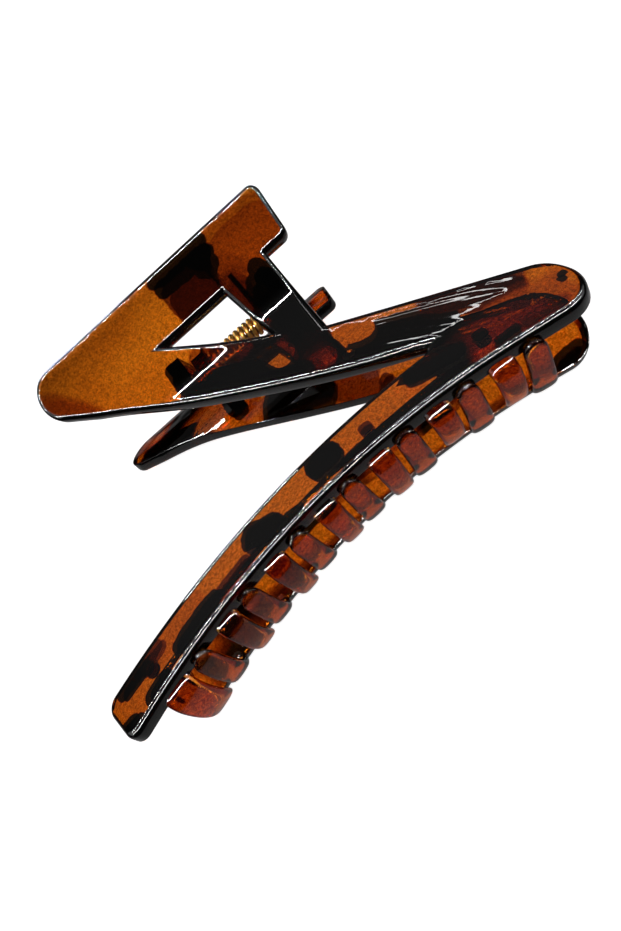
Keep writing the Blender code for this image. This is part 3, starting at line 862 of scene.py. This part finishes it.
back_patches = (
    (-36.0, 0.6, 10.5, 4.2, -30, 0.97, 0.2),
    (-20.5, -6.8, 8.0, 6.6, -35, 0.14, 0.2),
    (-16.1, -7.0, 2.4, 5.8, 5, 0.97, 0.12),
    (-4.0, -18.6, 6.8, 8.0, -35, 1.00, 0.12),
    (8.5, -27.0, 6.0, 5.6, -35, 0.62, 0.2),
    (19.0, -33.4, 6.5, 4.6, -35, 0.15, 0.15),
    (13.4, -33.4, 1.6, 1.6, 25, 0.85, 0.5),
    (0.5, -23.5, 4.5, 3.5, -35, 0.98, 0.3),
    (38.0, -46.5, 9.0, 6.0, 0, 0.03, 0.5),
    (0.0, -52.0, 36.0, 4.5, 0, 0.14, 0.2),
    (0.0, -55.0, 40.0, 2.6, 0, 0.78, 0.8),
    (40.0, -50.5, 5.0, 4.0, 0, 0.10, 0.3),
    (40.6, -55.8, 3.4, 2.2, 0, 0.98, 0.3),
)
back_rim_patches = (
    (41.0, -46.0, 7.5, 6.0, 0, 0.25, 0.5),
    (26.0, -56.5, 13.0, 5.0, 0, 0.25, 0.5),
)
# The back rim's dye runs from half to full: partly the plastic's own dye, partly painted shade
# along the edges. Its patches make it lighter near the apex and behind the teeth.
back_jaw = moulded_jaw("back_jaw_shell", "back", (
    tortoiseshell("tortoiseshell_back", back_patches, (), 13.0, (0.0, 1.0), 0.03, 0.10),
    tortoiseshell("tortoiseshell_back_teeth", (), (), 7.0, (0.0, 0.12), 0.06, 0.03),
    tortoiseshell("tortoiseshell_back_rim_dye_and_painted_shade", back_rim_patches, (), 9.0, (0.50, 1.0), 0.11, 0.01)))
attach(back_jaw, "back_half")
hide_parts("back_jaw")

# Hinge pin
# A plain length of bright drawn steel wire, pushed through the four lugs. The front jaw turns on
# it. It keeps the frame's own solid.


# The noise values between which drawn wire goes from its darkest and smoothest to its lightest and
# roughest, both as shares of its own tone and roughness, and how deep its skin is
skin_fade = (0.3, 0.7)
skin_tones = (0.8, 1.0)
skin_roughness = (0.7, 1.5)
skin_depth = 0.02 * MM


def wire_skin_group():
    """How the tone, the roughness and the height of drawn wire's skin vary finely."""
    group, given, result = new_group(
        "wire_skin",
        (("Place", "Vector", None), ("Fineness", "Float", 800.0), ("Roughness", "Float", 0.3)),
        (("Tone", "Float", None), ("Roughness", "Float", None), ("Height", "Float", None)))
    fine = node(group, "ShaderNodeTexNoise", {}, in_0=given["Place"], in_2=given["Fineness"],
                in_3=3.0)[0]
    smoothest, roughest = (maths(group, "MULTIPLY", given["Roughness"], share)
                           for share in skin_roughness)
    rough = node(group, "ShaderNodeMapRange", {}, in_0=fine, in_1=skin_fade[0], in_2=skin_fade[1],
                 in_3=smoothest, in_4=roughest)[0]
    tone = node(group, "ShaderNodeMapRange", {}, in_0=fine, in_1=skin_fade[0], in_2=skin_fade[1],
                in_3=skin_tones[0], in_4=skin_tones[1])[0]
    group.links.new(tone, result["Tone"])
    group.links.new(rough, result["Roughness"])
    group.links.new(fine, result["Height"])
    return group


wire_skin = wire_skin_group()


def metal(name, colour, roughness, fineness):
    """Drawn wire: bright metal whose tone, gloss and skin vary finely."""
    material = bpy.data.materials.new(name)
    material.use_nodes = True
    tree = material.node_tree
    shader = tree.nodes["Principled BSDF"]
    where = node(tree, "ShaderNodeTexCoord", {})["Object"]
    skin = placed(tree, wire_skin, place=where, fineness=fineness, roughness=roughness)
    tree.links.new(skin["Roughness"], shader.inputs["Roughness"])
    tint = node(tree, "ShaderNodeMix", {"data_type": "RGBA", "blend_type": "MULTIPLY"}, in_0=1.0,
                in_6=(*colour, 1.0), in_7=skin["Tone"])[2]
    tree.links.new(tint, shader.inputs["Base Color"])
    relief = node(tree, "ShaderNodeBump", {}, in_0=0.15, in_1=skin_depth, in_3=skin["Height"])[0]
    tree.links.new(relief, shader.inputs["Normal"])
    shader.inputs["Metallic"].default_value = 1.0
    return material


hinge_pin = frame["nodes"]["hinge_pin"]
hinge_pin.data.materials.clear()
hinge_pin.data.materials.append(metal("pin_steel", (0.62, 0.61, 0.60), 0.24, 900.0))

# Coil spring
# Brass coloured spring wire wound close round the pin between the lugs. One straight leg presses
# on the inside of each handle. The front leg and the turn that it grows from go with the front jaw.

wire_radius = 0.6 * MM
coil_radius = 1.95 * MM
coil_left_x = -12.1 * MM
coil_right_x = 3.0 * MM
coil_turns = 12
steps_a_turn = 36
leg_reach_z = 4.6 * MM
leg_gap = 0.35 * MM
wire_crease = math.radians(50)


def spring_points():
    """Middle line of the wire in two parts: a leg from the back handle to the underside of the
    coil and the coil, and its last turn with the leg to the front handle."""
    lean = math.hypot(1.0, flare_slope)
    leg_end = spread(0.0, leg_reach_z) - (plate_thickness + wire_radius) * lean - leg_gap
    reach = math.hypot(leg_end, leg_reach_z)
    first_angle = math.atan2(leg_reach_z, leg_end) - math.acos(coil_radius / reach)
    last_angle = math.pi - first_angle - 2 * math.pi * coil_turns
    steps = int(steps_a_turn * (first_angle - last_angle) / (2 * math.pi))
    points = [Vector((coil_left_x, leg_end, leg_reach_z))]
    for step in range(steps + 1):
        part = step / steps
        angle = first_angle + (last_angle - first_angle) * part
        points.append(Vector((coil_left_x + (coil_right_x - coil_left_x) * part,
                              coil_radius * math.cos(angle), coil_radius * math.sin(angle))))
    points.append(Vector((coil_right_x, -leg_end, leg_reach_z)))
    last_turn = len(points) - steps_a_turn
    return points[:last_turn], points[last_turn - 1:]


def bent_wire(name, points):
    """A round wire with closed ends along a line of points."""
    curve = bpy.data.curves.new(name, "CURVE")
    curve.dimensions = "3D"
    curve.bevel_depth = wire_radius
    curve.bevel_resolution = 6
    curve.use_fill_caps = True
    spline = curve.splines.new("POLY")
    spline.points.add(len(points) - 1)
    for point, spot in zip(spline.points, points):
        point.co = (*spot, 1.0)
    wire = bpy.data.objects.new(name + "_wire", curve)
    bpy.context.scene.collection.objects.link(wire)
    graph = bpy.context.evaluated_depsgraph_get()
    mesh = bpy.data.meshes.new_from_object(wire.evaluated_get(graph))
    bpy.data.objects.remove(wire, do_unlink=True)
    weld(mesh)
    mesh.transform(lying)
    mesh.shade_smooth()
    mesh.set_sharp_from_angle(angle=wire_crease)
    item = bpy.data.objects.new(name, mesh)
    bpy.context.scene.collection.objects.link(item)
    return item


brass = metal("spring_brass", (0.52, 0.29, 0.07), 0.32, 700.0)
coil_points, front_leg_points = spring_points()
coil = bent_wire("wound_spring", coil_points)
front_leg = bent_wire("spring_front_leg", front_leg_points)
for wire, body in ((coil, "back_half"), (front_leg, "front_half")):
    wire.data.materials.append(brass)
    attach(wire, body)
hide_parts("coil_spring")

# Studio
# A white light table with a white backdrop, lit in a patch under the clip, and two soft windows at
# its sides. The sky that the plastic mirrors is dark, which keeps its black deep, and a few narrow
# tubes draw the thin bright lines on the rounded edges and the folds of the faces.

# The table looks white all over. Under the clip it lights the plastic from below, out to where the
# patch fades between two radii, and it is dimmed in what the plastic mirrors.
floor_half_side = 3.0
floor_glow = 0.98
lit_patch = (75 * MM, 170 * MM)
floor_dimmed = 0.72

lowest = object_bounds()[0][2]
floor_mesh = bpy.data.meshes.new("floor")
work = bmesh.new()
bmesh.ops.create_grid(work, x_segments=1, y_segments=1, size=floor_half_side)
work.to_mesh(floor_mesh)
work.free()
floor = bpy.data.objects.new("floor", floor_mesh)
floor.location.z = lowest
bpy.context.scene.collection.objects.link(floor)
pale = bpy.data.materials.new("pale_floor")
pale.use_nodes = True
pale_shader = pale.node_tree.nodes["Principled BSDF"]
pale_shader.inputs["Roughness"].default_value = 0.9
pale_shader.inputs["Specular IOR Level"].default_value = 0.0
pale_shader.inputs["Emission Color"].default_value = (1.0, 1.0, 1.0, 1.0)
table = pale.node_tree
spot = node(table, "ShaderNodeTexCoord", {})["Object"]
far = node(table, "ShaderNodeVectorMath", {"operation": "LENGTH"}, in_0=spot)[1]
lit = node(table, "ShaderNodeMapRange", {"interpolation_type": "SMOOTHSTEP"}, in_0=far,
           in_1=lit_patch[0], in_2=lit_patch[1], in_3=1.0, in_4=0.0)[0]
seen = maths(table, "MAXIMUM", lit, node(table, "ShaderNodeLightPath", {})["Is Camera Ray"])
mirrored = node(table, "ShaderNodeLightPath", {})["Is Reflection Ray"]
dimmed = maths(table, "MULTIPLY", mirrored, floor_dimmed)
seen = maths(table, "MULTIPLY", seen, maths(table, "SUBTRACT", 1.0, dimmed))
table.links.new(maths(table, "MULTIPLY", seen, floor_glow), pale_shader.inputs["Emission Strength"])
shade = node(table, "ShaderNodeCombineColor", {}, in_0=seen, in_1=seen, in_2=seen)[0]
table.links.new(shade, pale_shader.inputs["Base Color"])
floor_mesh.materials.append(pale)

# The sky has a faint glow high at the back. Its columns are where the glow starts and is full, as
# the cosine of the angle to its middle, and how bright it is outside and inside.
glow_middle = (0.0, 0.67, 0.743)
glow_fade = (0.72, 0.92, 0.02, 0.16)
world = bpy.data.worlds.new("studio")
bpy.context.scene.world = world
world.use_nodes = True
sky = world.node_tree
towards_back = node(sky, "ShaderNodeVectorMath", {"operation": "DOT_PRODUCT"},
                    in_0=node(sky, "ShaderNodeTexCoord", {})["Generated"],
                    in_1=glow_middle)[1]
fade = node(sky, "ShaderNodeMapRange", {"interpolation_type": "SMOOTHSTEP"}, in_0=towards_back,
            in_1=glow_fade[0], in_2=glow_fade[1], in_3=glow_fade[2], in_4=glow_fade[3])[0]
backdrop = node(sky, "ShaderNodeLightPath", {})["Is Camera Ray"]
sky.links.new(maths(sky, "MAXIMUM", fade, backdrop), sky.nodes["Background"].inputs["Strength"])
sky.nodes["Background"].inputs["Color"].default_value = (1.0, 1.0, 1.0, 1.0)


# Only a window that is more than a metre high lights the floor. The others are there for their
# reflections.
lighting_height = 1.0
window_distance = 2.0


def window(name, azimuth, elevation, wide, high, radiance):
    """A light that fills part of the sky: azimuth from +Y to +X, all angles in degrees."""
    lamp = bpy.data.lights.new(name, "AREA")
    lamp.shape = "RECTANGLE"
    lamp.size = 2 * window_distance * math.tan(math.radians(wide / 2))
    lamp.size_y = 2 * window_distance * math.tan(math.radians(high / 2))
    lamp.energy = radiance * math.pi * lamp.size * lamp.size_y
    item = bpy.data.objects.new(name, lamp)
    bpy.context.scene.collection.objects.link(item)
    turn, lift = math.radians(azimuth), math.radians(elevation)
    aim = Vector((math.sin(turn) * math.cos(lift), math.cos(turn) * math.cos(lift), math.sin(lift)))
    item.location = aim * window_distance
    item.rotation_euler = aim.to_track_quat("Z", "Y").to_euler()
    item.visible_diffuse = lamp.size_y > lighting_height


# name, azimuth, elevation, width, height, radiance
window("front_tube", 180, 60, 120, 3, 90.0)
window("overhead_line", 0, 79.5, 120, 0.6, 500.0)
window("back_tube", 30, 61, 30, 1.2, 14.0)
window("back_left_card", -21, 29.5, 20, 5, 40.0)
window("left_window", -95, 35, 40, 50, 0.9)
window("right_window", 95, 35, 40, 50, 0.9)
bpy.context.scene.view_settings.view_transform = "Standard"

# The camera was fitted to the clip in the photograph. Its place and its picture's right and down
# are given in the hinge frame.
camera_place = Vector((2.365, -100.95, -112.39)) * MM
right = Vector((0.7561, 0.4357, -0.4883)).normalized()
down = Vector((-0.6477, 0.3915, -0.6536))
camera_data = bpy.data.cameras.new("camera")
camera_data.sensor_fit = "HORIZONTAL"
camera_data.sensor_width = 36.0
camera_data.lens = 36.776
camera_data.clip_start = 0.01
camera = bpy.data.objects.new("camera", camera_data)
bpy.context.scene.collection.objects.link(camera)
down = (down - right * down.dot(right)).normalized()
forward = right.cross(down)
place = Matrix((right, -down, -forward)).transposed().to_4x4()
place.translation = camera_place
camera.matrix_world = lying @ place
bpy.context.scene.camera = camera
